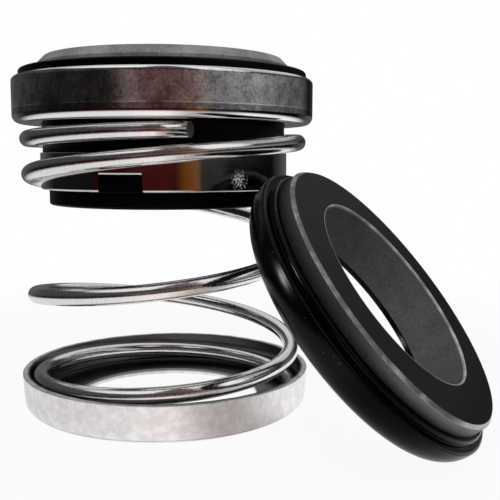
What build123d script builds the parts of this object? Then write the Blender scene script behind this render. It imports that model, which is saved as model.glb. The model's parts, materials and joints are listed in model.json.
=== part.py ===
from build123d import *
import os
from math import cos, hypot, pi, radians, sin

# Rubber-bellows mechanical seal for a 22 mm shaft, in millimetres.
# The rotary unit stands on its spring holder with its axis on Z. The stationary seat leans against it.

# ---- driving dimensions ----

# shared
shaft_diameter = 22.0
shaft_gap = 0.65            # radial way left round the shaft where nothing grips it
fit_gap = 0.03              # between pieces that are pushed together
slip_gap = 0.05             # between pieces that slide or flex past each other

# rotary unit, heights along Z with the spring relaxed
free_length = 43.2          # holder underside to running face
nose_height = 1.6           # face nose standing proud of the rubber lip
lip_height = 0.9            # rubber lip showing above the drive ring
ring_height = 5.5
tail_length = 9.75          # drive ring underside to the end of the rubber tail
tail_showing = 1.9          # rubber tail showing below the drive band
band_height = 4.4

# spring holder, a pressed cup
holder_radius = 18.1        # outside, at the rim
holder_draft = 0.3          # how much narrower the wall is at its foot
holder_height = 4.6
holder_sheet = 0.8
holder_bend = 1.4           # outside bend radius

# spring, wound right-hand
wire_diameter = 2.0
coil_turns = 4.22
coil_end_angle = -78.8      # where the cut top end stands, degrees from +X
coil_way = 0.4              # between the upper turns and the drive band
coil_flat_turns = 0.28      # turns that lie flat in the holder
coil_rise_turns = 1.74      # turns over which the pitch opens
coil_open_turns = 0.94      # turns at full pitch
coil_close_turns = 0.61     # turns over which the pitch closes
coil_lean = 0.72            # how far the free turns tip to one side
coil_lean_angle = 135.0
coil_tip_lift = 0.73        # the top end is bent up against the drive ring
coil_tip_turns = 0.25
points_per_turn = 12

# drive ring, a pressed channel that carries the rubber and the face
ring_radius = 18.5
ring_sheet = 0.8
ring_bend = 1.0
ring_shoulder = 0.6
ring_neck_gap = 0.2         # between the ring's hole and the bellows neck

# seal face
face_thickness = 5.6
face_cone = 1.0             # width and height of the cone round the flat running face
face_edge = 0.15

# bellows
cup_wall = 2.0              # rubber between the drive ring and the seal face
tail_radius = 14.3
neck_radius = 15.0
neck_wall = 1.6
fold_height = 3.2
fold_lip = 1.2
grip_length = 6.6           # bore that grips the shaft
rubber_edge = 0.3

# drive band
band_radius = 15.3
band_sheet = 0.7
notch_count = 2
notch_angle = -109.0
notch_width = 5.0
notch_height = 1.9

# stationary seat
seat_radius = 16.7
seat_thickness = 5.8
seat_edge = 0.4
seat_step = 1.85            # full-diameter front part of the ring
seat_rebate = 0.9           # how much smaller the ring is inside its rubber cup
boot_floor = 0.65
boot_lip = 0.6              # how far the cup's lip stands out past the ring
boot_bead = 0.9             # how far the sealing bead stands out past the lip
boot_groove = 0.25
bead_start = 2.6            # behind the running face
bead_edge = 0.3
boot_round = 3.2            # rounding of the cup's rear edge

# how the seat leans
seat_facing = -29.15        # direction its face looks in, degrees from +X
seat_lean = 39.1            # tilt of its axis above the floor
seat_touch = 80.75          # where its rear edge meets the rotary unit, degrees round the rim
lean_gap = 0.6

# overhang of a cutting tool past the surface that it cuts
overcut = 1.0

# ---- levels and radii that follow ----

bore_radius = shaft_diameter / 2
clear_radius = bore_radius + shaft_gap
wire_radius = wire_diameter / 2
lip_top = free_length - nose_height
ring_top = lip_top - lip_height
ring_bottom = ring_top - ring_height
tail_bottom = ring_bottom - tail_length
band_bottom = tail_bottom + tail_showing
band_top = band_bottom + band_height
face_bottom = free_length - face_thickness
coil_top_radius = band_radius + coil_way + wire_radius
ring_hole_radius = neck_radius + ring_neck_gap
cup_radius = ring_radius - ring_sheet - slip_gap
face_radius = cup_radius - cup_wall - slip_gap
cup_floor = ring_bottom + ring_sheet + slip_gap
seat_inner_radius = seat_radius - seat_rebate
boot_lip_radius = seat_radius + boot_lip
boot_radius = boot_lip_radius + boot_bead
boot_length = seat_thickness + boot_floor


def outline(*corners):
    """Closed line round a half section, from rows of radius, height and the rounding of that corner."""
    points = [corner[:2] for corner in corners]
    roundings = [corner[2] for corner in corners]
    FilletPolyline(*points, radius=roundings, close=True)


# ---- spring holder ----

holder_foot = holder_radius - holder_draft

with BuildPart() as spring_holder:
    with BuildSketch(Plane.XZ):
        with BuildLine():
            outline(
                (clear_radius, 0, 0),
                (holder_foot, 0, holder_bend),
                (holder_radius, holder_height, 0),
                (holder_radius - holder_sheet, holder_height, 0),
                (holder_foot - holder_sheet, holder_sheet, holder_bend - holder_sheet),
                (clear_radius, holder_sheet, 0),
            )
        make_face()
    revolve(axis=Axis.Z)


# ---- spring ----

coil_bottom_radius = holder_foot - holder_sheet - 2 * slip_gap - wire_radius
coil_low = holder_sheet + wire_radius
coil_high = ring_bottom - slip_gap - wire_radius - coil_tip_lift


def eased(turn, start, length):
    """Turns climbed when the slope grows evenly from 0 to 1 over a length that begins at start."""
    if turn < start:
        return 0.0
    if turn < start + length:
        return (turn - start) ** 2 / (2 * length)
    return turn - start - length / 2


def climb(turn):
    """Share of the free height reached this many turns above the lower end, from 0 to 1."""
    open_end = coil_flat_turns + coil_rise_turns + coil_open_turns
    climbed = eased(turn, coil_flat_turns, coil_rise_turns) - eased(turn, open_end, coil_close_turns)
    return climbed / (coil_open_turns + (coil_rise_turns + coil_close_turns) / 2)


def coil_point(turn):
    """Centre of the wire: a helix whose pitch opens and closes, tipped a little in its free turns."""
    share = climb(turn)
    angle = radians(coil_end_angle) - 2 * pi * (coil_turns - turn)
    radius = coil_bottom_radius + (coil_top_radius - coil_bottom_radius) * share
    lean = coil_lean * 4 * share * (1 - share) * cos(angle - radians(coil_lean_angle))
    tip = max(0.0, 1 - (coil_turns - turn) / coil_tip_turns)
    height = coil_low + (coil_high - coil_low) * share + lean + coil_tip_lift * tip**2 * (3 - 2 * tip)
    return (radius * cos(angle), radius * sin(angle), height)


with BuildPart() as spring:
    with BuildLine() as coil:
        steps = round(coil_turns * points_per_turn)
        Spline([coil_point(coil_turns * step / steps) for step in range(steps + 1)])
    with BuildSketch(Plane(origin=coil.line @ 0, z_dir=coil.line % 0)):
        Circle(wire_radius)
    sweep(is_frenet=False)


# ---- drive ring ----

with BuildPart() as drive_ring:
    with BuildSketch(Plane.XZ):
        with BuildLine():
            outline(
                (ring_hole_radius, ring_bottom, 0),
                (ring_radius, ring_bottom, ring_bend),
                (ring_radius, ring_top, ring_shoulder),
                (ring_radius - ring_sheet, ring_top, 0),
                (ring_radius - ring_sheet, ring_bottom + ring_sheet, ring_bend - ring_sheet),
                (ring_hole_radius, ring_bottom + ring_sheet, 0),
            )
        make_face()
    revolve(axis=Axis.Z)


# ---- seal face ----

with BuildPart() as seal_face:
    with BuildSketch(Plane.XZ):
        with BuildLine():
            outline(
                (clear_radius, face_bottom, face_edge),
                (face_radius, face_bottom, face_edge),
                (face_radius, free_length - face_cone, face_edge),
                (face_radius - face_cone, free_length, face_edge),
                (clear_radius, free_length, face_edge),
            )
        make_face()
    revolve(axis=Axis.Z)


# ---- bellows: a cup round the seal face, a thin neck with a fold, and a tail that grips the shaft ----

grip_top = tail_bottom + grip_length
fold_top = grip_top + fold_height
fold_radius = neck_radius - neck_wall
cup_inside = face_radius + slip_gap
cup_inner_floor = face_bottom - slip_gap
land_radius = band_radius - band_sheet - fit_gap

with BuildPart() as bellows:
    with BuildSketch(Plane.XZ):
        with BuildLine():
            outline(
                (bore_radius, tail_bottom, rubber_edge),
                (tail_radius, tail_bottom, rubber_edge),
                (tail_radius, band_bottom, 0),
                (land_radius, band_bottom, 0),
                (land_radius, band_top, 0),
                (neck_radius, band_top, 0),
                (neck_radius, cup_floor, 0),
                (cup_radius, cup_floor, ring_bend - ring_sheet),
                (cup_radius, lip_top, rubber_edge),
                (cup_inside, lip_top, rubber_edge),
                (cup_inside, cup_inner_floor, 0),
                (fold_radius - fold_lip, cup_inner_floor, rubber_edge),
                (fold_radius - fold_lip, fold_top, rubber_edge),
                (fold_radius, fold_top, rubber_edge),
                (fold_radius, grip_top, rubber_edge),
                (bore_radius, grip_top, rubber_edge),
            )
        make_face()
    revolve(axis=Axis.Z)


# ---- drive band ----

with BuildPart() as drive_band:
    with BuildSketch(Plane.XY.offset(band_bottom)):
        Circle(band_radius)
        Circle(band_radius - band_sheet, mode=Mode.SUBTRACT)
    extrude(amount=band_height)
    with BuildSketch(Plane.XY.offset(band_bottom)):
        with PolarLocations(band_radius, notch_count, start_angle=notch_angle):
            Rectangle(2 * (band_sheet + overcut), notch_width)
    extrude(amount=notch_height, mode=Mode.SUBTRACT)


# ---- stationary seat ----

# The cup's rear edge is a rounding carried along a spine circle. It touches the floor at its lowest
# point. Seen from above the spine is an ellipse, and the edge round the point of it at seat_touch lies
# lean_gap away from the drive band, where both share one normal.
lean = radians(seat_lean)
touch = radians(seat_touch)
facing = Vector(1, 0, 0).rotate(Axis.Z, seat_facing)
across = facing.rotate(Axis.Z, 90)
spine_radius = boot_radius - boot_round
spine_depth = boot_length - boot_round
ellipse_depth = spine_radius * sin(lean)
normal_length = hypot(spine_radius * sin(touch), ellipse_depth * cos(touch))
reach = (band_radius + lean_gap + boot_round) / normal_length
seat_away = spine_radius * sin(touch) * reach + ellipse_depth * sin(touch) + spine_depth * cos(lean)
seat_aside = -ellipse_depth * cos(touch) * reach - spine_radius * cos(touch)
seat_centre = facing * seat_away + across * seat_aside
seat_centre.Z = spine_depth * sin(lean) + spine_radius * cos(lean) + boot_round
seat_normal = facing * cos(lean) + Vector(0, 0, sin(lean))
seat_axis = Axis(seat_centre, seat_normal)
seat_section = Plane(origin=seat_centre, x_dir=across, z_dir=across.cross(seat_normal))

boot_inside = seat_inner_radius + fit_gap
boot_front = -seat_step - fit_gap

with BuildPart() as seat_ring:
    with BuildSketch(seat_section):
        with BuildLine():
            outline(
                (clear_radius, 0, 0),
                (seat_radius - seat_edge, 0, 0),
                (seat_radius, -seat_edge, 0),
                (seat_radius, -seat_step, 0),
                (seat_inner_radius, -seat_step, 0),
                (seat_inner_radius, -seat_thickness, 0),
                (clear_radius, -seat_thickness, 0),
            )
        make_face()
    revolve(axis=seat_axis)

with BuildPart() as seat_boot:
    with BuildSketch(seat_section):
        with BuildLine():
            outline(
                (boot_inside, boot_front, 0),
                (boot_lip_radius, boot_front, rubber_edge),
                (boot_lip_radius, boot_groove - bead_start, 0),
                (boot_lip_radius - boot_groove, -bead_start, 0),
                (boot_radius, -bead_start, bead_edge),
                (boot_radius, -boot_length, boot_round),
                (clear_radius, -boot_length, 0),
                (clear_radius, -seat_thickness - fit_gap, 0),
                (boot_inside, -seat_thickness - fit_gap, 0),
            )
        make_face()
    revolve(axis=seat_axis)


# ---- one file for each piece ----

pieces = {
    "spring_holder": spring_holder,
    "spring": spring,
    "drive_ring": drive_ring,
    "seal_face": seal_face,
    "bellows": bellows,
    "drive_band": drive_band,
    "seat_ring": seat_ring,
    "seat_boot": seat_boot,
}

os.makedirs("parts", exist_ok=True)
for name, piece in pieces.items():
    piece.part.label = name
    export_step(piece.part, f"parts/{name}.step")

print("seat centre", [round(value, 3) for value in seat_centre])
print("gap over the coil", round(ring_bottom - coil_point(coil_turns)[2] - wire_radius, 3))
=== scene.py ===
# %% [markdown]
# # A rubber-bellows mechanical seal
# A pump's shaft turns in a hole, and this seal keeps the liquid from running out along it. The rotary
# unit on the left rides on the shaft: a coil spring pushes a hard ring against the stationary seat,
# which here leans beside it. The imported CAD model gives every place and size. This script only
# dresses it, so each surface below is worked out from the same sizes as its CAD piece.

# %% The tools and the frame
import json

import bpy
import numpy as np
from mathutils import Matrix, Vector


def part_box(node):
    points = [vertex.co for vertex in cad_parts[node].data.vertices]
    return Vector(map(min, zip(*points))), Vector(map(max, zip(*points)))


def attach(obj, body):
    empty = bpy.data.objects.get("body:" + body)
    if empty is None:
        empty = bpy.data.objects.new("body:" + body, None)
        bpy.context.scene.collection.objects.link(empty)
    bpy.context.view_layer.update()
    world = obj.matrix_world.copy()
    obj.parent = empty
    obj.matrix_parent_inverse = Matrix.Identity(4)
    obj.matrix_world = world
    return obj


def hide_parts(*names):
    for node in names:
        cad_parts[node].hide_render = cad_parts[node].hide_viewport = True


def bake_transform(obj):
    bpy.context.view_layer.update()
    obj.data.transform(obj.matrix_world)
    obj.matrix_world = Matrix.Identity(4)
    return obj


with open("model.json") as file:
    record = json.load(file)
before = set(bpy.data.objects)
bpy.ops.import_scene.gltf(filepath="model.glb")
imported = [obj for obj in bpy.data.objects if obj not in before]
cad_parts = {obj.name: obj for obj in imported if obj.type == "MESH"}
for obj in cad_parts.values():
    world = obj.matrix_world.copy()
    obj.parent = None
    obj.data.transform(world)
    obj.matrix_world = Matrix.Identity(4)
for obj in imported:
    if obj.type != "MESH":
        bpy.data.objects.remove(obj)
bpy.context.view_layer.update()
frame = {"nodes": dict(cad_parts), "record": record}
MM = 0.001
print("CAD nodes:", sorted(frame["nodes"]))

# %% [markdown]
# ## The camera
# The view is a close one from just above the table's edge. Its place, tilt and focal length come from
# fitting circles of known size, such as the rims, to where they should appear. The camera is turned by
# three angles, and from them follow its own axes: forward, right and up.

# %% The camera
CAMERA_BACK, CAMERA_HEIGHT = 101.15 * MM, 31.04 * MM
CAMERA_DOWN, CAMERA_RIGHT, CAMERA_ROLL = np.radians([6.574, 6.098, 0.145])
SENSOR_WIDTH = 36.0
FOCAL_SHARE = 1.5794             # focal length over the picture's width

forward = Vector((np.sin(CAMERA_RIGHT) * np.cos(CAMERA_DOWN), np.cos(CAMERA_RIGHT) * np.cos(CAMERA_DOWN),
                  -np.sin(CAMERA_DOWN)))
level = Vector((np.cos(CAMERA_RIGHT), -np.sin(CAMERA_RIGHT), 0))
upright = level.cross(forward)
right = level * np.cos(CAMERA_ROLL) + upright * np.sin(CAMERA_ROLL)
up = upright * np.cos(CAMERA_ROLL) - level * np.sin(CAMERA_ROLL)

camera = bpy.data.objects.new("camera", bpy.data.cameras.new("camera"))
bpy.context.scene.collection.objects.link(camera)
camera.data.sensor_width = SENSOR_WIDTH
camera.data.lens = FOCAL_SHARE * SENSOR_WIDTH
camera.data.clip_start = 1 * MM
camera.matrix_world = Matrix.Translation((0, -CAMERA_BACK, CAMERA_HEIGHT)) @ Matrix(
    (right, up, -forward)).transposed().to_4x4()
bpy.context.scene.camera = camera
print("lens in mm:", round(camera.data.lens, 2))

# %% [markdown]
# ## Shader maths as plain sums
# A node tree is a drawing of a formula. It could be built node by node, with a line for each node and
# each link, but a long formula gets lost that way. Here a socket is wrapped in a small class whose
# plus, minus and times add the Math nodes, and any other node comes from one method.

# %% A socket that can be calculated with
class Wire:
    """A node's output. Arithmetic on it adds Math nodes and gives the result's output."""

    def __init__(self, finish, socket):
        self.finish, self.socket = finish, socket

    def math(self, operation, *others, first=None):
        """One Math node on this value and the others, or on first and this value, in that order."""
        values = [first, self] if first is not None else [self, *others]
        return self.finish.node("ShaderNodeMath", {"operation": operation}, dict(enumerate(values)))

    def __add__(self, other):
        return self.math("ADD", other)

    def __sub__(self, other):
        return self.math("SUBTRACT", other)

    def __mul__(self, other):
        return self.math("MULTIPLY", other)

    def __truediv__(self, other):
        return self.math("DIVIDE", other)

    def __pow__(self, other):
        return self.math("POWER", other)

    def __rsub__(self, other):
        return self.math("SUBTRACT", first=other)

    __radd__, __rmul__ = __add__, __mul__

    def above(self, low, high):
        """0 below low, 1 above high, and smooth between them."""
        return self.finish.node("ShaderNodeMapRange", {"interpolation_type": "SMOOTHSTEP"},
                                {"Value": self, "From Min": low, "From Max": high})

    def between(self, low, high, soft):
        """1 from low to high, falling smoothly to 0 over the width soft outside them."""
        return self.above(low - soft, low) * (1 - self.above(high, high + soft))


# %% A node tree
class Finish:
    """The node tree of a material or of the world."""

    def __init__(self, owner):
        owner.use_nodes = True
        self.owner, self.tree = owner, owner.node_tree
        self.tree.nodes.clear()

    def node(self, kind, settings=None, inputs=None, output=0):
        """Adds a node, sets its own settings first, then its sockets' values or links. The stops of a
        ramp are pairs of a place and a tone, which is one number for a grey or three for a colour."""
        made = self.tree.nodes.new(kind)
        for key, value in (settings or {}).items():
            if key == "stops":
                ramp = made.color_ramp.elements
                while len(ramp) < len(value):
                    ramp.new(0.5)
                for element, (place, tone) in zip(ramp, value):
                    element.position, element.color = place, (*np.broadcast_to(tone, 3), 1)
            else:
                setattr(made, key, value)
        for key, value in (inputs or {}).items():
            if isinstance(value, Wire):
                self.tree.links.new(value.socket, made.inputs[key])
            else:
                made.inputs[key].default_value = value
        return Wire(self, made.outputs[output])

    def shown(self, shader, kind="Material"):
        """Sends a shader to the tree's output and returns what owns the tree."""
        output = self.tree.nodes.new(f"ShaderNodeOutput{kind}")
        self.tree.links.new(shader.socket, output.inputs[0])
        return self.owner

    def noise(self, place, scale, detail=3.0, roughness=0.55):
        """Cloudy noise from 0 to 1, with scale in features per unit of place."""
        return self.node("ShaderNodeTexNoise", {}, {
            "Vector": place, "Scale": scale, "Detail": detail, "Roughness": roughness})

    def mixed(self, share, low, high):
        """A colour between two: low * (1 - share) + high * share."""
        return self.node("ShaderNodeMix", {"data_type": "RGBA"}, {0: share, 6: low, 7: high}, output=2)

    def stretched(self, place, by):
        """Coordinates multiplied one by one: noise read with them is drawn out along a small factor."""
        return self.node("ShaderNodeVectorMath", {"operation": "MULTIPLY"}, {0: place, 1: by})

    def parts(self, place):
        """The three coordinates of a place, each as a socket."""
        split = self.node("ShaderNodeSeparateXYZ", {}, {0: place})
        outputs = split.socket.node.outputs
        return [Wire(self, outputs[index]) for index in range(3)]

    def joined(self, x, y, z):
        """Three sockets or numbers as one place."""
        return self.node("ShaderNodeCombineXYZ", {}, {0: x, 1: y, 2: z})


# %% Colours, surfaces and coordinates
def new_finish(name):
    """An empty node tree in a new material."""
    return Finish(bpy.data.materials.new(name))


def grey(value):
    """A neutral colour from its brightness on a screen's scale of 0 to 255. As a share of 255 it becomes
    linear light as ((share + 0.055) / 1.055) to the power 2.4, and near black as share / 12.92."""
    share = value / 255
    linear = share / 12.92 if share <= 0.04045 else ((share + 0.055) / 1.055) ** 2.4
    return (linear, linear, linear, 1)


def tint(red, green, blue):
    """A colour from its red, green and blue on the same scale, each made linear as in grey."""
    return tuple(grey(value)[0] for value in (red, green, blue)) + (1,)


def surface(finish, bump=None, bump_height=0.01, **values):
    """A material of the Principled shader. Each value is a number or a link for the socket of that name,
    written with _ for a space. bump is how high the surface stands, as a share of bump_height in mm."""
    inputs = {key.replace("_", " "): value for key, value in values.items()}
    if bump is not None:
        inputs["Normal"] = finish.node("ShaderNodeBump", {}, {
            "Height": bump, "Strength": 1.0, "Distance": bump_height * MM})
    return finish.shown(finish.node("ShaderNodeBsdfPrincipled", {}, inputs))


def object_place(finish, location=(0, 0, 0), rotation=(0, 0, 0)):
    """Object coordinates in mm, measured from a place and along turned axes."""
    coordinates = finish.node("ShaderNodeTexCoord", output="Object")
    return finish.node("ShaderNodeMapping", {"vector_type": "TEXTURE"}, {
        "Vector": coordinates, "Location": location, "Rotation": rotation, "Scale": (MM, MM, MM)})


def round_place(finish, place):
    """The radius, which is the root of x * x + y * y, and the height. Both come first as one place,
    whose noise makes perfect rings, and then as sockets."""
    x, y, z = finish.parts(place)
    radius = (x * x + y * y) ** 0.5
    return finish.joined(radius, 0, z), radius, z


# %% [markdown]
# ## Surfaces from arrays
# Almost every piece of this seal is turned or pressed round an axis. Blender's Screw and Bevel
# modifiers could make such pieces, with a bevel weight for each corner. Arrays say the same in fewer
# words: one function rounds each corner of a half section by its own radius, and another carries that
# line round the axis. A row of points beside each rounding keeps the flats flat, because smooth
# shading blends the directions of neighbouring faces.

# %% From a half section to a mesh
ROUND_STEPS = 10
RING_COLUMNS = 256
EDGE = 0.05                      # the least rounding that a real edge has, in mm
HOLD = 0.03                      # how far the row beside a rounding stands off, in mm


def rounded(corners, least=EDGE):
    """Closed line round rows of radius, height and bend, all in mm. A bend of radius r leaves each side
    at r / tan(half the corner's angle) from the corner, and turns at an even rate between the two."""
    rows = np.array(corners, float)
    corner, bend = rows[:, :2], np.maximum(rows[:, 2], least)
    before, after = np.roll(corner, 1, 0) - corner, np.roll(corner, -1, 0) - corner
    before /= np.linalg.norm(before, axis=1)[:, None]
    after /= np.linalg.norm(after, axis=1)[:, None]
    half = np.arccos(np.clip((before * after).sum(1), -1, 1)) / 2
    reach = bend / np.tan(half)
    middle = (before + after) / np.linalg.norm(before + after, axis=1)[:, None]
    centre = corner + middle * (bend / np.sin(half))[:, None]
    start, stop = corner + before * reach[:, None] - centre, corner + after * reach[:, None] - centre
    turn = np.pi - 2 * half
    share = np.linspace(0, 1, ROUND_STEPS + 1)
    from_start, from_stop = [(np.sin(np.outer(turn, part)) / np.sin(turn)[:, None])[..., None]
                             for part in (1 - share, share)]
    arc = centre[:, None] + from_start * start[:, None] + from_stop * stop[:, None]
    first, last = arc[:, :1] + HOLD * before[:, None], arc[:, -1:] + HOLD * after[:, None]
    return np.concatenate([first, arc, last], 1).reshape(-1, 2)


# %% A mesh from a grid of points
def mesh_piece(name, grid, uv=None):
    """A mesh from a grid of points in mm, whose last row joins the first again. Without uv the columns
    do too, as on a ring. With uv it is a rod with flat ends, and uv gives each point its two numbers,
    with the first row once more at the end."""
    rows, columns = grid.shape[:2]
    spans = columns if uv is None else columns - 1
    row, column = np.meshgrid(np.arange(rows), np.arange(spans), indexing="ij")
    next_row, next_column = (row + 1) % rows, (column + 1) % columns
    quads = np.stack([row * columns + column, row * columns + next_column,
                      next_row * columns + next_column, next_row * columns + column], -1).reshape(-1, 4)
    starts = np.arange(rows) * columns
    ends = [] if uv is None else [starts[::-1].tolist(), (starts + columns - 1).tolist()]
    mesh = bpy.data.meshes.new(name)
    mesh.from_pydata((grid.reshape(-1, 3) * MM).tolist(), [], quads.tolist() + ends)
    mesh.shade_smooth()
    if uv is not None:
        for face in mesh.polygons[len(quads):]:
            face.use_smooth = False
        corners = np.stack([uv[row, column], uv[row, column + 1], uv[row + 1, column + 1],
                            uv[row + 1, column]], 2).reshape(-1, 2)
        values = np.zeros((len(mesh.loops), 2), np.float32)
        values[:len(corners)] = corners
        mesh.uv_layers.new(name="along").data.foreach_set("uv", values.ravel())
    mesh.validate()
    piece = bpy.data.objects.new(name, mesh)
    bpy.context.scene.collection.objects.link(piece)
    print(name, "vertices", len(mesh.vertices), "faces", len(mesh.polygons))
    return piece


# %% Round an axis
def turned(name, section, lift=None, angles=None, place=None):
    """A surface of revolution: the point (r, z) of the section at angle a goes to (r cos a, r sin a, z).
    lift may first raise z by a function of z and the angle, and place turns and moves the whole."""
    if angles is None:
        angles = np.linspace(0, 2 * np.pi, RING_COLUMNS, endpoint=False)
    radius, height = section[:, :1] + 0 * angles, section[:, 1:] + 0 * angles
    if lift is not None:
        height = height + lift(height, angles)
    grid = np.stack([radius * np.cos(angles), radius * np.sin(angles), height], -1)
    if place is not None:
        grid = grid @ np.array(place.to_3x3()).T + np.array(place.translation) / MM
    return mesh_piece(name, grid)


# %% In the CAD node's stead
def dress(piece, node, slot, material, *bodies, start=None, end=None):
    """Puts a finished piece in its CAD node's stead, with its material and its body. With two bodies its
    points are only baked in place. slot, start and end are not used. Prints the largest difference
    between a side of its box and the same side of the node's box."""
    piece.data.materials.append(material)
    if len(bodies) == 1:
        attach(piece, bodies[0])
    else:
        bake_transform(piece)
    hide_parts(node)
    low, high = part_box(node)
    points = np.empty(len(piece.data.vertices) * 3, np.float32)
    piece.data.vertices.foreach_get("co", points)
    points = points.reshape(-1, 3)
    off = np.abs(np.concatenate([points.min(0) - np.array(low), points.max(0) - np.array(high)])).max()
    print(f"{piece.name}: off its CAD box by at most {off / MM:.3f} mm")


# %% [markdown]
# ## The sizes that the pieces share
# The levels and radii below are those of the CAD source, in mm, with the spring relaxed. Each value
# stands once, so two pieces that touch can't drift apart. A piece's own sizes stand with the piece.

# %% Shared sizes
FACE_TOP = 43.2
LIP_TOP = 41.6
RING_TOP, RING_BOTTOM = 40.7, 35.2
TAIL_BOTTOM, BAND_BOTTOM, BAND_TOP = 25.45, 27.35, 31.75
CLEAR_RADIUS, GRIP_RADIUS = 11.65, 11.0     # bores that clear the shaft and that grip it
BAND_RADIUS, BAND_SHEET = 15.3, 0.7
SHEET = 0.8                      # of the holder and of the drive ring
FIT = 0.03                       # gap between pieces that are pushed together
SLIP = 0.05                      # gap between pieces that slide on each other
print("height in mm:", FACE_TOP)

# %% [markdown]
# ## The spring holder
# A shallow cup pressed from stainless sheet, with a rounded foot and a large hole for the shaft. A thin
# cup with a Solidify modifier would give the walls, but its cut edges would stay square. Here the half
# section has both sides of the sheet, and each edge its own small rounding. The upper edge was cut and
# never dressed, so a function of the angle makes it dip a little.

# %% The holder's shape
HOLDER_RADIUS, HOLDER_FOOT, HOLDER_HEIGHT = 18.1, 17.8, 4.6
HOLDER_BEND = 1.4
WAVE_HEIGHT, WAVE_REACH = 0.03, 0.6      # how high the waves are and how far down they fade, in mm


def wavy_edge(height, angle):
    """The cut edge dips by a few hundredths of a mm, in waves of several lengths."""
    edge = np.clip((height - HOLDER_HEIGHT + WAVE_REACH) / WAVE_REACH, 0, 1) ** 2
    wave = 0.5 * np.sin(5 * angle + 1) + 0.3 * np.sin(13 * angle) + 0.35 * np.sin(37 * angle + 2)
    return edge * WAVE_HEIGHT * (wave - 1)


holder = turned("holder", rounded([
    (CLEAR_RADIUS, 0, 0), (HOLDER_FOOT, 0, HOLDER_BEND), (HOLDER_RADIUS, HOLDER_HEIGHT, 0.1),
    (HOLDER_RADIUS - SHEET, HOLDER_HEIGHT, 0.06), (HOLDER_FOOT - SHEET, SHEET, HOLDER_BEND - SHEET),
    (CLEAR_RADIUS, SHEET, 0)]), wavy_edge)

# %% [markdown]
# ## Satin steel
# Pressed sheet has no one direction of brushing, so it needs no anisotropic shader. Cloudy noise makes
# its tone uneven, finer noise its roughness, and noise in rings leaves the faint marks of the tool. The
# inside has a darker tone of painted shade, which keeps the outline of the wire clear.

# %% The holder's finish
f = new_finish("holder_steel")
place = object_place(f)
rings, radius, height = round_place(f, place)
cloud = f.noise(place, 0.9, 5, 0.7)
grain = f.noise(place, 9.0, 3, 0.7)
marks = f.noise(f.stretched(rings, (1, 1, 6)), 1.5, 2)
# The inside of the cup gets a darker grey: painted shade.
inside = (1 - radius.above(HOLDER_RADIUS - 0.65, HOLDER_RADIUS - 0.5)) * height.above(0.3, 0.5)
satin = f.mixed(cloud.above(0.35, 0.7), tint(226, 222, 223), tint(250, 248, 248))
holder_steel = surface(
    f, Base_Color=f.mixed(inside, satin, grey(120)), Metallic=1.0,
    Roughness=0.24 + 0.10 * cloud + 0.08 * grain - 0.08 * inside, bump=grain + marks, bump_height=0.006)
dress(holder, "spring_holder", "holder_steel", holder_steel, "base")

# %% [markdown]
# ## The spring
# Bright drawn wire, 2 mm thick and wound right-hand. Its lower end lies flat in the holder, the pitch
# opens and closes again, and the upper end, cut off with shears, is bent up against the drive ring. A
# curve with a round bevel could make it, but not its slanted cut. So a round section is carried along
# the line: at each step one direction points out from the axis, square to the wire, and the other is
# square to both.

# %% The spring's line
WIRE_RADIUS = 1.0
COIL_TURNS, COIL_END = 4.22, np.radians(-78.8)
FLAT, RISE, OPEN, CLOSE = 0.28, 1.74, 0.94, 0.61     # turns: flat, opening, at full pitch, closing
TIP_LIFT, TIP_TURNS = 0.73, 0.25
LEAN, LEAN_ANGLE = 0.72, np.radians(135)
COIL_LOW, COIL_HIGH = SHEET + WIRE_RADIUS, RING_BOTTOM - SLIP - WIRE_RADIUS - TIP_LIFT
COIL_LOW_RADIUS, COIL_HIGH_RADIUS = HOLDER_FOOT - SHEET - 2 * SLIP - WIRE_RADIUS, 16.7


def eased(turn, start, length):
    """Turns climbed when the slope grows evenly from 0 to 1 over a length that begins at start."""
    gone = np.clip(turn - start, 0, length)
    return gone**2 / (2 * length) + np.maximum(turn - start - length, 0)


def coil_line(turn):
    """The wire's centre: a helix whose pitch opens and closes, tipped a little in its free turns."""
    climbed = eased(turn, FLAT, RISE) - eased(turn, FLAT + RISE + OPEN, CLOSE)
    share = climbed / (OPEN + (RISE + CLOSE) / 2)
    angle = COIL_END - 2 * np.pi * (COIL_TURNS - turn)
    radius = COIL_LOW_RADIUS + (COIL_HIGH_RADIUS - COIL_LOW_RADIUS) * share
    lean = LEAN * 4 * share * (1 - share) * np.cos(angle - LEAN_ANGLE)
    tip = np.maximum(0, 1 - (COIL_TURNS - turn) / TIP_TURNS)
    height = COIL_LOW + (COIL_HIGH - COIL_LOW) * share + lean + TIP_LIFT * tip**2 * (3 - 2 * tip)
    return np.stack([radius * np.cos(angle), radius * np.sin(angle), height], -1)


# %% The wire's section, carried along the line
STEPS_PER_TURN, WIRE_COLUMNS = 110, 36
line = coil_line(np.linspace(0, COIL_TURNS, int(COIL_TURNS * STEPS_PER_TURN)))
ahead = np.gradient(line, axis=0)
ahead /= np.linalg.norm(ahead, axis=1)[:, None]
outward = line * (1, 1, 0)
outward -= (outward * ahead).sum(1)[:, None] * ahead
outward /= np.linalg.norm(outward, axis=1)[:, None]
sideways = np.cross(ahead, outward)
around = np.linspace(0, 2 * np.pi, WIRE_COLUMNS, endpoint=False)
wire = line[:, None] + WIRE_RADIUS * (
    np.cos(around)[:, None] * outward[:, None] + np.sin(around)[:, None] * sideways[:, None])
print("points along and round the wire:", wire.shape[:2])

# %% The wire's two ends and its mesh
END_RINGS = ((0.0, 0.90), (0.03, 0.97))     # how far in from the end, in mm, and how large
SHEAR = 0.6                                 # how far the upper cut slants back, in mm, to either side
LOWER_ROWS, UPPER_ROWS = 2, 5               # rows of the wire that give way to the rings at each end


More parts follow.
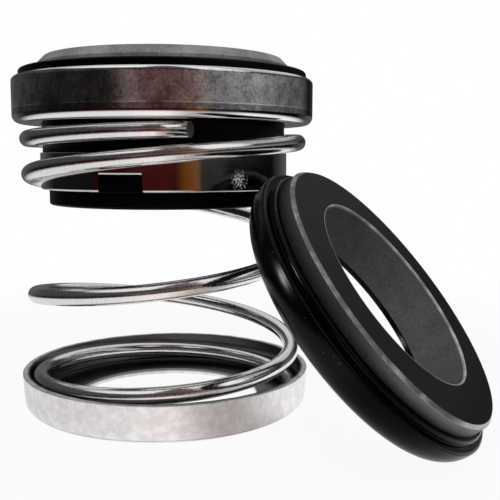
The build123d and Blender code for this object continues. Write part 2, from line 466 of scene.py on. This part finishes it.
def end_rings(row, outwards, shear):
    """Smaller rings at a row of the wire, which break the edge of the cut there. Each lies back from the
    end by its depth and by shear * (1 + cos of the place round the wire)."""
    slant = shear * (1 + np.cos(around))[:, None]
    return np.array([line[row] + (wire[row] - line[row]) * size - outwards * ahead[row] * (depth + slant)
                     for depth, size in END_RINGS])


grid = np.concatenate([end_rings(0, -1, 0), wire[LOWER_ROWS:-UPPER_ROWS], end_rings(-1, 1, SHEAR)[::-1]])
length = np.concatenate([[0], np.cumsum(np.linalg.norm(np.diff(line, axis=0), axis=1))])
along = np.concatenate([length[[0, 0]], length[LOWER_ROWS:-UPPER_ROWS], length[[-1, -1]]])
uv = np.stack(np.meshgrid(along, np.linspace(0, 1, WIRE_COLUMNS + 1)), -1)
coil = mesh_piece("coil", grid.transpose(1, 0, 2)[::-1], uv[::-1])

# %% [markdown]
# ## Drawn wire
# The die leaves a bright surface with fine streaks along the wire and a few small pits. Streaks read
# from the object's own coordinates would run straight through the turns. So the UV map named along
# holds the length on the wire in mm and the share of the way round it, and the noise is drawn out by
# that. The cut ends have length 0 in the map, which tells them apart: they are duller and reddish.

# %% The wire's finish
FOLLOW_START, FOLLOW_END = 3.2, 31.0        # levels in mm, given to dress as start and end
f = new_finish("spring_wire")
place = object_place(f)
drawn = f.node("ShaderNodeUVMap", {"uv_map": "along"})
streak = f.noise(f.stretched(drawn, (0.25, 22, 1)), 1.0, 3)
pits = f.noise(place, 4.0, 5, 0.75)
bright = f.mixed(pits.above(0.35, 0.65), tint(222, 219, 218), tint(243, 241, 240))
cut = 1 - f.parts(drawn)[0].above(0.0001, 0.001)
spring_wire = surface(
    f, Base_Color=f.mixed(cut, bright, tint(206, 186, 178)), Metallic=1.0,
    Roughness=0.03 + 0.06 * streak + 0.20 * pits.above(0.43, 0.62) + 0.30 * cut,
    bump=streak * 0.3 + pits * 0.5, bump_height=0.006)
dress(coil, "spring", "spring_wire", spring_wire, "base", "head",
      start=(0, 0, FOLLOW_START * MM), end=(0, 0, FOLLOW_END * MM))

# %% [markdown]
# ## The drive ring
# A pressed channel round the head, with a flat underside that the spring pushes on. Its two bends
# differ: the lower one is rounder than the shoulder at the top. It could be cut from a cylinder with
# two bevels. Carrying the half section round is shorter and keeps the sheet's thickness even.

# %% The drive ring
DRIVE_RADIUS, DRIVE_HOLE, DRIVE_BEND, DRIVE_SHOULDER = 18.5, 15.2, 1.0, 0.6
drive_ring = turned("drive_ring.turned", rounded([
    (DRIVE_HOLE, RING_BOTTOM, 0), (DRIVE_RADIUS, RING_BOTTOM, DRIVE_BEND),
    (DRIVE_RADIUS, RING_TOP, DRIVE_SHOULDER), (DRIVE_RADIUS - SHEET, RING_TOP, 0),
    (DRIVE_RADIUS - SHEET, RING_BOTTOM + SHEET, DRIVE_BEND - SHEET),
    (DRIVE_HOLE, RING_BOTTOM + SHEET, 0)]))

# %% [markdown]
# ## Burnished steel
# The wall is satin and mottled, and its two bends have a brighter tone: a painted highlight. Each zone
# could have a material of its own with an edge between them. One material whose values change with the
# height lets a bend's painted highlight shade off softly. A fine scribed line comes the same way.

# %% The ring's finish
SCRIBE = 36.84                   # level of a fine scribed line, below which the wall is darker
f = new_finish("ring_steel")
place = object_place(f)
rings, _, height = round_place(f, place)
cloud = f.noise(place, 0.6, 4)
grain = f.noise(place, 3.0, 5, 0.75)
turning = f.noise(f.stretched(rings, (14, 1, 14)), 1.0, 2)
dents = f.noise(place, 2.2, 1)
scribe = height.between(SCRIBE, SCRIBE + 0.09, 0.04) * f.noise(place, 0.6).above(0.38, 0.50)
bends = 1 - height.between(RING_BOTTOM + 0.95, RING_TOP - 0.45, 0.15)
below = 1 - height.above(SCRIBE - 0.02, SCRIBE + 0.06)
light = (cloud * 0.45 + grain * 0.55).above(0.35, 0.65) - 0.4 * below
satin = f.mixed(light, tint(132, 129, 130), tint(226, 225, 225))
# The bends get a painted highlight in grey 238, and the scribed line shares that pale tone.
ring_steel = surface(
    f, Base_Color=f.mixed((bends + scribe).math("MINIMUM", 1.0), satin, grey(238)), Metallic=1.0,
    Roughness=0.07 + 0.07 * grain + 0.03 * cloud - 0.02 * bends,
    bump=turning * 0.1 + dents * (1 - bends), bump_height=0.006)
dress(drive_ring, "drive_ring", "ring_steel", ring_steel, "head")

# %% [markdown]
# ## The seal face
# A ring of grey carbide with a conical nose. Its flat top is what runs against the seat. As the ring is
# hard and brittle, its edges are only just broken. It could be a cylinder with a bevelled rim and a
# hole. Its cone is one line of the half section, so the one function that makes the rings makes it too.

# %% The seal face
FACE_RADIUS, FACE_CONE, FACE_BOTTOM = 15.6, 1.0, FACE_TOP - 5.6
FACE_EDGE = 0.15
face = turned("face", rounded([
    (CLEAR_RADIUS, FACE_BOTTOM, FACE_EDGE), (FACE_RADIUS, FACE_BOTTOM, FACE_EDGE),
    (FACE_RADIUS, FACE_TOP - FACE_CONE, FACE_EDGE), (FACE_RADIUS - FACE_CONE, FACE_TOP, 0.12),
    (CLEAR_RADIUS, FACE_TOP, FACE_EDGE)]))

# %% [markdown]
# ## Ground carbide
# Carbide looks like fine grey stone, neither metal nor gloss. A picture of grain could be laid on it,
# but noise has no seam and no edge. A coarse and a fine noise mottle it, scratches are drawn out to one
# side by stretched coordinates, and the ground cone is a little paler than the lapped top, partly its
# own tone and partly painted light for a face that the lamps light less.

# %% The face's finish
f = new_finish("face_carbide")
place = object_place(f)
cloud = f.noise(place, 0.25, 3)
grain = f.noise(place, 3.0, 5, 0.75)
scratch = f.noise(f.stretched(place, (0.5, 9, 1)), 1.0, 3)
# The cone's paler grey is partly painted light, for a face that the lamps light less.
cone = 1 - f.parts(place)[2].above(FACE_TOP - 0.12, FACE_TOP - 0.02)
light = (cloud * 0.5 + grain * 0.5).above(0.35, 0.65)
face_carbide = surface(
    f, Base_Color=f.mixed(light, grey(84), f.mixed(cone, grey(116), grey(132))), Metallic=0.0, IOR=1.6,
    Roughness=0.36 + 0.12 * scratch, bump=grain + scratch * 0.5, bump_height=0.004)
dress(face, "seal_face", "face_carbide", face_carbide, "head")

# %% [markdown]
# ## The rubber bellows
# One moulding: a cup that holds the seal face, a thin neck that folds, and a thick tail that grips the
# shaft. It could be three meshes, one on each body and one between, but rubber has no such seams. So it
# is one mesh.

# %% The bellows
LAND_RADIUS, TAIL_RADIUS = BAND_RADIUS - BAND_SHEET - FIT, 14.3
NECK_RADIUS, FOLD_OUTSIDE, FOLD_INSIDE = 15.0, 13.4, 12.2
GRIP_TOP = TAIL_BOTTOM + 6.6
FOLD_TOP = GRIP_TOP + 3.2
CUP_LOW = RING_BOTTOM + SHEET + SLIP
CUP_FLOOR, CUP_INSIDE, CUP_OUTSIDE = FACE_BOTTOM - SLIP, FACE_RADIUS + SLIP, 17.65
RUBBER_EDGE = 0.3
bellows = turned("bellows.moulded", rounded([
    (GRIP_RADIUS, TAIL_BOTTOM, RUBBER_EDGE), (TAIL_RADIUS, TAIL_BOTTOM, RUBBER_EDGE),
    (TAIL_RADIUS, BAND_BOTTOM, 0), (LAND_RADIUS, BAND_BOTTOM, 0),
    (LAND_RADIUS, BAND_TOP, 0), (NECK_RADIUS, BAND_TOP, 0), (NECK_RADIUS, CUP_LOW, 0),
    (CUP_OUTSIDE, CUP_LOW, 0.2), (CUP_OUTSIDE, LIP_TOP, RUBBER_EDGE), (CUP_INSIDE, LIP_TOP, RUBBER_EDGE),
    (CUP_INSIDE, CUP_FLOOR, 0), (FOLD_INSIDE, CUP_FLOOR, RUBBER_EDGE),
    (FOLD_INSIDE, FOLD_TOP, RUBBER_EDGE), (FOLD_OUTSIDE, FOLD_TOP, RUBBER_EDGE),
    (FOLD_OUTSIDE, GRIP_TOP, RUBBER_EDGE), (GRIP_RADIUS, GRIP_TOP, RUBBER_EDGE)]))

# %% [markdown]
# ## Moulded rubber
# Rubber takes the fine skin of its mould and collects dust. A plain black material would look like a
# hole. A faint skin in the bump breaks its highlight up, and specks of dust lighten it here and there.
# The cup of the seat is of the same rubber, so a function makes both, each with its own gloss and dust.

# %% The rubber's finish
def rubber(name, low, high, gloss, dust):
    """Black rubber between two greys, with a fine skin and a little pale dust. gloss is its least
    roughness, and a larger dust lets more specks through."""
    f = new_finish(name)
    place = object_place(f)
    cloud = f.noise(place, 0.5, 3)
    skin = f.noise(place, 11.0, 3, 0.6)
    specks = f.noise(place, 5.0, 2, 0.4).above(0.78 - dust, 0.84 - dust)
    return surface(
        f, Base_Color=f.mixed(specks, f.mixed(cloud, grey(low), grey(high)), grey(90)), Metallic=0.0,
        Specular_IOR_Level=0.10, Roughness=gloss + 0.10 * skin + 0.25 * specks, bump=skin + specks,
        bump_height=0.005)


bellows_rubber = rubber("bellows_rubber", 1, 3, 0.30, 0.0)
dress(bellows, "bellows", "bellows_rubber", bellows_rubber, "head", "tail",
      start=(0, 0, FOLD_TOP * MM), end=(0, 0, GRIP_TOP * MM))

# %% [markdown]
# ## The drive band
# A strip of polished stainless, rolled round the rubber and spot welded. Its lower edge has two notches
# that a key would drive. A Boolean would cut them, but leaves long thin faces that shade badly. So the
# section is carried round as before, and its lower edge is lifted where a notch is, with columns of
# points set close together at the notch's sides.

# %% The drive band
NOTCH_ANGLES = np.radians([-109.0, 71.0])
NOTCH_HALF, NOTCH_HEIGHT, NOTCH_SOFT = 2.5 / BAND_RADIUS, 1.9, 0.12 / BAND_RADIUS


def notched(height, angle):
    """How far the lower edge is lifted: by the notch's height where the angle lies inside a notch."""
    away = np.abs((angle[:, None] - NOTCH_ANGLES + np.pi) % (2 * np.pi) - np.pi).min(1)
    inside = np.clip((NOTCH_HALF + NOTCH_SOFT - away) / NOTCH_SOFT, 0, 1)
    low = height < (BAND_BOTTOM + BAND_TOP) / 2
    return low * NOTCH_HEIGHT * inside * inside * (3 - 2 * inside)


close = np.linspace(0, NOTCH_SOFT, 7)
band_angles = np.unique(np.concatenate([
    np.linspace(-np.pi, np.pi, RING_COLUMNS, endpoint=False),
    *[angle + side * (NOTCH_HALF + close) for angle in NOTCH_ANGLES for side in (-1, 1)]]))
band = turned("band", rounded([
    (BAND_RADIUS - BAND_SHEET, BAND_BOTTOM, 0), (BAND_RADIUS, BAND_BOTTOM, 0.3),
    (BAND_RADIUS, BAND_TOP, 0.08), (BAND_RADIUS - BAND_SHEET, BAND_TOP, 0)]), notched, band_angles)

# %% [markdown]
# ## Polished strip
# The strip is the brightest mirror of the seal, with hair lines round it. Its spot weld is a round patch
# of pale, rough spatter that thins out from its middle. The patch could be a decal, which needs a
# picture. Here the distance from the weld is taken off a noise, and what stays above a limit is spatter.

# %% The band's finish
WELD_ANGLE, WELD_HEIGHT, WELD_REACH = np.radians(-57.5), 28.65, 1.4
f = new_finish("band_steel")
place = object_place(f)
hair = f.noise(f.stretched(round_place(f, place)[0], (1, 1, 30)), 1.0, 2)
cloud = f.noise(place, 0.7, 3)
x, y, z = f.parts(place)
away = ((x - BAND_RADIUS * np.cos(WELD_ANGLE)) ** 2 + (y - BAND_RADIUS * np.sin(WELD_ANGLE)) ** 2
        + (z - WELD_HEIGHT) ** 2) ** 0.5
spatter = (f.noise(place, 5.5, 2, 0.8) - 0.12 * away).above(0.47, 0.51)
spatter = spatter * (1 - away.above(WELD_REACH - 0.3, WELD_REACH))
polished = f.mixed(cloud, tint(196, 194, 193), tint(216, 214, 213))
band_steel = surface(
    f, Base_Color=f.mixed(spatter, polished, grey(250)), Metallic=1.0 - spatter,
    Roughness=0.05 + 0.03 * hair + 0.03 * cloud + 0.30 * spatter,
    bump=hair * 0.1 + spatter * 0.5, bump_height=0.01)
dress(band, "drive_band", "band_steel", band_steel, "tail")

# %% [markdown]
# ## The stationary seat
# A lapped ring of dark carbide sits in a rubber cup with a bead that seals in the pump's housing, and
# leans on the rotary unit. It could be made upright and its object turned, but pieces stay at the
# origin here. So the points themselves are turned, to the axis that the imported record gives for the
# seat's bore. Heights on that axis are 0 at the lapped face and negative behind it.

# %% The seat's place
bore = next(mount for mount in frame["record"]["mounts"] if mount["name"] == "seat_bore")
seat_axis = Vector(bore["axis"]).normalized()
SEAT_THICKNESS = 5.8
seat_centre = Vector(bore["pos_m"]) + seat_axis * (SEAT_THICKNESS / 2 * MM)
seat_turn = seat_axis.to_track_quat("Z", "Y")
seat_place = Matrix.Translation(seat_centre) @ seat_turn.to_matrix().to_4x4()
print("seat centre in mm:", [round(value / MM, 2) for value in seat_centre])

# %% The seat ring
SEAT_RADIUS, SEAT_INNER, SEAT_STEP, SEAT_EDGE = 16.7, 15.8, 1.85, 0.4
seat_ring = turned("seat_ring.lapped", rounded([
    (CLEAR_RADIUS, 0, 0.12), (SEAT_RADIUS - SEAT_EDGE, 0, 0.06), (SEAT_RADIUS, -SEAT_EDGE, 0.06),
    (SEAT_RADIUS, -SEAT_STEP, 0), (SEAT_INNER, -SEAT_STEP, 0), (SEAT_INNER, -SEAT_THICKNESS, 0),
    (CLEAR_RADIUS, -SEAT_THICKNESS, 0)]), place=seat_place)

# %% [markdown]
# ## Lapped carbide
# The lapped face is dark, and painted shade darkens it towards the floor. A worn pale rim runs round it,
# outside and in the bore, with a painted highlight at the bottom of the outer rim, and the ring's side
# next to the rim has painted light that grows towards the bottom. Four materials would leave hard edges
# between them. One material reads the radius and the height round the seat's own axis: first come the
# tones of the four zones, and then how much of each zone there is.

# %% The seat ring's tones
f = new_finish("seat_carbide")
place = object_place(f, seat_centre, seat_turn.to_euler())
rings, radius, height = round_place(f, place)
upward = f.parts(place)[1]
cloud = f.noise(place, 0.4, 4)
grain = f.noise(place, 3.5, 5, 0.75)
worn = (f.noise(rings, 0.4, 2) * 0.5 + cloud * 0.5).above(0.4, 0.6)
# The lapped face's tone darkens towards the floor: painted shade, near black at the bottom.
face_painted_shade = f.mixed((upward + cloud * 4).above(-10, 18), grey(25), grey(40))
face_painted_shade = f.mixed((upward + cloud * 2).above(-14.5, -9.5), grey(2), face_painted_shade)
# The outer rim's pale tone is wear, with a painted highlight of grey 215 at its bottom.
rim_wear_and_painted_highlight = f.mixed(upward.above(-16.5, -12), grey(215), f.mixed(worn, grey(84), grey(160)))
inner_rim = f.mixed(worn, grey(120), grey(185))
# The ring's side next to the rim grows lighter towards the bottom: painted light.
side_painted_light = f.mixed((upward + cloud * 4).above(-14, 3), grey(145), grey(50))
outside = f.mixed((height + grain * 0.9).above(-1.5, 0.2), f.mixed(grain, grey(4), grey(30)), side_painted_light)
bore_wall = f.mixed((grain * 0.7 + cloud * 0.3).above(0.25, 0.75), grey(59), grey(94))
print("nodes for the seat's tones:", len(f.tree.nodes))

# %% The seat ring's finish
lapped = height.above(-0.03, -0.01) * radius.above(CLEAR_RADIUS + 0.1, CLEAR_RADIUS + 0.2)
side = radius.above(SEAT_INNER - 0.2, SEAT_INNER + 0.1)
on_rim = side * height.above(-SEAT_EDGE, -0.30) + (1 - side) * height.above(-0.35, -0.25)
ground = f.mixed(on_rim, f.mixed(side, bore_wall, outside), f.mixed(side, inner_rim, rim_wear_and_painted_highlight))
seat_carbide = surface(
    f, Base_Color=f.mixed(lapped, ground, face_painted_shade), Metallic=0.0, IOR=1.2,
    Roughness=0.42 - 0.30 * lapped + 0.06 * grain,
    bump=grain * (1 - 0.9 * lapped), bump_height=0.006)
dress(seat_ring, "seat_ring", "seat_carbide", seat_carbide, "base")

# %% [markdown]
# ## The seat's rubber cup
# Black rubber behind and round the ring, with a lip, a bead and a well rounded rear edge. It is a
# moulding as the bellows is, so it is made in the same two steps: a half section with its own radius at
# each corner, and the rubber's finish, glossier here and with more dust.

# %% The seat's rubber cup
LIP_RADIUS, GROOVE, BEAD_START = 17.3, 0.25, 2.6
BOOT_RADIUS, BOOT_LENGTH, BOOT_ROUND = 18.2, 6.45, 3.2
BOOT_INSIDE, BOOT_FLOOR = SEAT_INNER + FIT, -SEAT_THICKNESS - FIT
boot = turned("boot", rounded([
    (BOOT_INSIDE, -SEAT_STEP - FIT, 0.1), (LIP_RADIUS, -SEAT_STEP - FIT, 0.3),
    (LIP_RADIUS, GROOVE - BEAD_START, 0.1), (LIP_RADIUS - GROOVE, -BEAD_START, 0.08),
    (BOOT_RADIUS, -BEAD_START, 0.3), (BOOT_RADIUS, -BOOT_LENGTH, BOOT_ROUND),
    (CLEAR_RADIUS, -BOOT_LENGTH, 0.1), (CLEAR_RADIUS, BOOT_FLOOR, EDGE),
    (BOOT_INSIDE, BOOT_FLOOR, EDGE)]), place=seat_place)
seat_rubber = rubber("seat_rubber", 1, 4, 0.12, 0.045)
dress(boot, "seat_boot", "seat_rubber", seat_rubber, "base")

# %% [markdown]
# ## The studio
# The object stands on a white sheet before a white backdrop, in a room with walls and soft boxes. Real
# walls and boxes could be modelled, but they would also light the rubber and show behind the object.
# Here the room is a formula instead: a ray asks for the tone in its own direction, and what it gets
# depends on its kind. The camera sees white, metal mirrors the room, and all the rest is lit by a dim
# sky and by the lamps.

# %% The table
TABLE_HALF, TABLE_LEVEL = 3.0, -0.02 * MM       # in metres, and a hair below the pieces
table_mesh = bpy.data.meshes.new("table")
table_mesh.from_pydata([(x * TABLE_HALF, y * TABLE_HALF, TABLE_LEVEL) for x, y in
                        ((-1, -1), (1, -1), (1, 1), (-1, 1))], [], [(0, 1, 2, 3)])
table = bpy.data.objects.new("table", table_mesh)
bpy.context.scene.collection.objects.link(table)
print("table size in m:", 2 * TABLE_HALF)

# %% [markdown]
# ## What the metal mirrors
# Polished steel has no look of its own: it shows its surroundings, bent round its shape. An upright
# cylinder mirrors the walls as upright stripes, one for each bearing. So each part of the room is a
# list of tones by bearing, in degrees from the camera's side and positive towards the right, and a
# colour ramp blends from one to the next.

# %% The walls and the soft boxes
# A dark red curtain, an orange strip and a grey wall on the right, with dark corners between them.
LOW_WALL = [
    (-145, 0.10), (-120, 0.012), (-68, 0.008), (-65, (0.022, 0.003, 0.003)),
    (-18, (0.055, 0.007, 0.006)), (3, (0.065, 0.007, 0.006)), (9, (0.035, 0.008, 0.004)),
    (18, (0.180, 0.050, 0.006)), (29, (0.210, 0.085, 0.025)), (32, (0.032, 0.028, 0.026)),
    (50, 0.030), (61, 0.003), (115, 0.003), (145, 0.10)]
# The same wall higher up, where more light falls on it.
HIGH_WALL = [
    (-160, 0.12), (-128, 0.06), (-90, 0.022), (-40, (0.02, 0.017, 0.017)), (-23, (0.26, 0.18, 0.18)),
    (-12, (0.19, 0.10, 0.10)), (2, (0.15, 0.08, 0.08)), (14, (0.22, 0.13, 0.12)),
    (23, (0.34, 0.24, 0.22)), (31, (0.28, 0.25, 0.25)), (68, 0.42), (95, 0.24), (125, 0.14),
    (140, 0.008), (155, 0.03), (168, 0.12)]
# Soft boxes overhead, left and right of the camera, and the lit backdrop behind the object.
SOFT_BOXES = [
    (-165, 0.70), (-125, 0.50), (-100, 0.90), (-25, 1.0), (-18, (0.14, 0.09, 0.09)),
    (20, (0.14, 0.09, 0.09)), (30, 1.0), (65, 1.0), (80, 0.40), (165, 0.70)]
# How high each box begins, as the sine of its height over the horizon.
BOX_START = [
    (-170, 0.30), (-125, 0.68), (-18, 0.68), (24, 0.50), (32, 0.28), (62, 0.28), (80, 0.50),
    (170, 0.30)]
# The white sheet on the table, shaded where the camera and its stand are.
NEAR_SHEET = [
    (-70, 0.82), (-30, (0.88, 0.87, 0.87)), (-12, (1.0, 0.97, 0.96)), (2, (1.0, 0.96, 0.94)),
    (10, (0.76, 0.72, 0.70)), (20, (0.50, 0.47, 0.45)), (34, (0.48, 0.45, 0.44)),
    (46, (0.66, 0.64, 0.63)), (58, 0.95), (66, 1.0)]
print("tones in each list:", [len(tones) for tones in (LOW_WALL, HIGH_WALL, SOFT_BOXES, NEAR_SHEET)])


# %% The tone in a direction
def wall(finish, x, y, stops):
    """The tone of a list in the direction x, y. Its bearing is the angle whose tangent is x / -y, and as
    a share of the full turn it is bearing / 360 + 0.5."""
    share = x.math("ARCTAN2", y * -1.0) / (2 * np.pi) + 0.5
    return finish.node("ShaderNodeValToRGB", {"stops": [
        (degrees / 360 + 0.5, tone) for degrees, tone in stops]}, {0: share})


def ray_kind(finish, name):
    """1 for rays of this kind and 0 for the others."""
    return Wire(finish, finish.node("ShaderNodeLightPath").socket.node.outputs[f"Is {name} Ray"])


# %% [markdown]
# ## The table's surface
# To the camera the table glows nearly white, and a little less near the object, which lets the shadow
# of the object show. A mirrored ray gets the sheet's tone, or the dark floor's further out. All other
# rays meet grey card, so the glow lights nothing. A plain white material would need so much lamp light
# to look white that it would wash the metal out.

# %% The table's surface
SHEET_NEAR, SHEET_FAR = 55.0, 130.0     # mm from the axis, where the sheet gives way to the floor
f = new_finish("table_white")
place = object_place(f)
far = round_place(f, place)[1].above(SHEET_NEAR, SHEET_FAR)
x, y, _ = f.parts(place)
mirror = f.mixed(far, wall(f, x, y, NEAR_SHEET), wall(f, x, y, LOW_WALL))
mirrored = (ray_kind(f, "Glossy") + ray_kind(f, "Transmission")).math("MINIMUM", 1.0)
seen = ray_kind(f, "Camera") * (0.93 + 0.07 * far)
shown = (seen + mirrored).math("MINIMUM", 1.0)
card = f.node("ShaderNodeBsdfDiffuse", {}, {"Color": (0.5, 0.5, 0.5, 1)})
glow = f.node("ShaderNodeEmission", {}, {"Color": f.mixed(mirrored, (1, 1, 1, 1), mirror)})
table_mesh.materials.append(f.shown(f.node("ShaderNodeMixShader", {}, {0: shown, 1: card, 2: glow})))
print("nodes of the table's surface:", len(f.tree.nodes))

# %% [markdown]
# ## The room
# z is the sine of a ray's height over the horizon. A mirrored ray meets the low wall up to 0.05, the
# high wall up to 0.30, and above that a dim ceiling with the soft boxes in it. Other rays meet a sky
# that grows lighter towards its top. The strengths are all 1, so the tones are what the metal shows.

# %% The room
world = bpy.data.worlds.new("room")
bpy.context.scene.world = world
f = Finish(world)
x, y, z = f.parts(f.node("ShaderNodeTexCoord", output="Generated"))
sky = f.node("ShaderNodeValToRGB", {"stops": [
    (0.0, 0.012), (0.08, 0.04), (0.3, 0.16), (0.6, 0.30), (1.0, 0.45)]}, {0: z})
walls = f.mixed(z.above(0.01, 0.05), wall(f, x, y, LOW_WALL), wall(f, x, y, HIGH_WALL))
raised = z - wall(f, x, y, BOX_START)
ceiling = f.mixed(raised.above(0.0, 0.1), (0.06, 0.06, 0.06, 1), wall(f, x, y, SOFT_BOXES))
metal_sees = f.mixed(z.above(0.12, 0.30), walls, ceiling)
light = f.mixed(ray_kind(f, "Glossy"), sky, metal_sees)
room = f.node("ShaderNodeBackground", {}, {"Color": light, "Strength": 1.0})
backdrop = f.node("ShaderNodeBackground", {}, {"Color": (1, 1, 1, 1), "Strength": 1.0})
f.shown(f.node("ShaderNodeMixShader", {}, {0: ray_kind(f, "Camera"), 1: room, 2: backdrop}), "World")
print("nodes of the room:", len(f.tree.nodes))

# %% [markdown]
# ## The lamps
# Three square lamps model the form of the rubber and the carbide, which mirror little. The metal doesn't
# mirror them, because the room has its own soft boxes. A fourth lamp has a long snoot: its light falls
# on the rubber cup alone and draws the highlight along its rounded edge. Light linking does what the
# snoot would do, with a collection that names the one object to be lit.

# %% The lamps
LIT_POINT = Vector((8, -5, 20)) * MM


def lamp(name, place, size, power):
    """A square lamp at a place in metres, turned so that its own -Z axis points at the object."""
    light = bpy.data.lights.new(name, "AREA")
    light.shape, light.size, light.energy = "SQUARE", size, power
    lamp_object = bpy.data.objects.new(name, light)
    bpy.context.scene.collection.objects.link(lamp_object)
    lamp_object.visible_glossy = False
    print(name, "watts:", power)
    turn = (LIT_POINT - Vector(place)).to_track_quat("-Z", "Y")
    lamp_object.matrix_world = Matrix.Translation(place) @ turn.to_matrix().to_4x4()
    return lamp_object


lamp("lamp.top", (-0.05, -0.35, 0.45), 0.35, 2.4)
lamp("lamp.left", (-0.52, -0.24, 0.33), 0.07, 0.35)
lamp("lamp.right", (0.50, 0.05, 0.30), 0.20, 0.6)
snoot = lamp("lamp.snoot", (-0.57, -0.09, 0.195), 0.10, 1.6)
snoot.visible_glossy = True
cup_only = bpy.data.collections.new("cup_only")
cup_only.objects.link(boot)
snoot.light_linking.receiver_collection = cup_only

bpy.context.scene.view_settings.view_transform = "Standard"
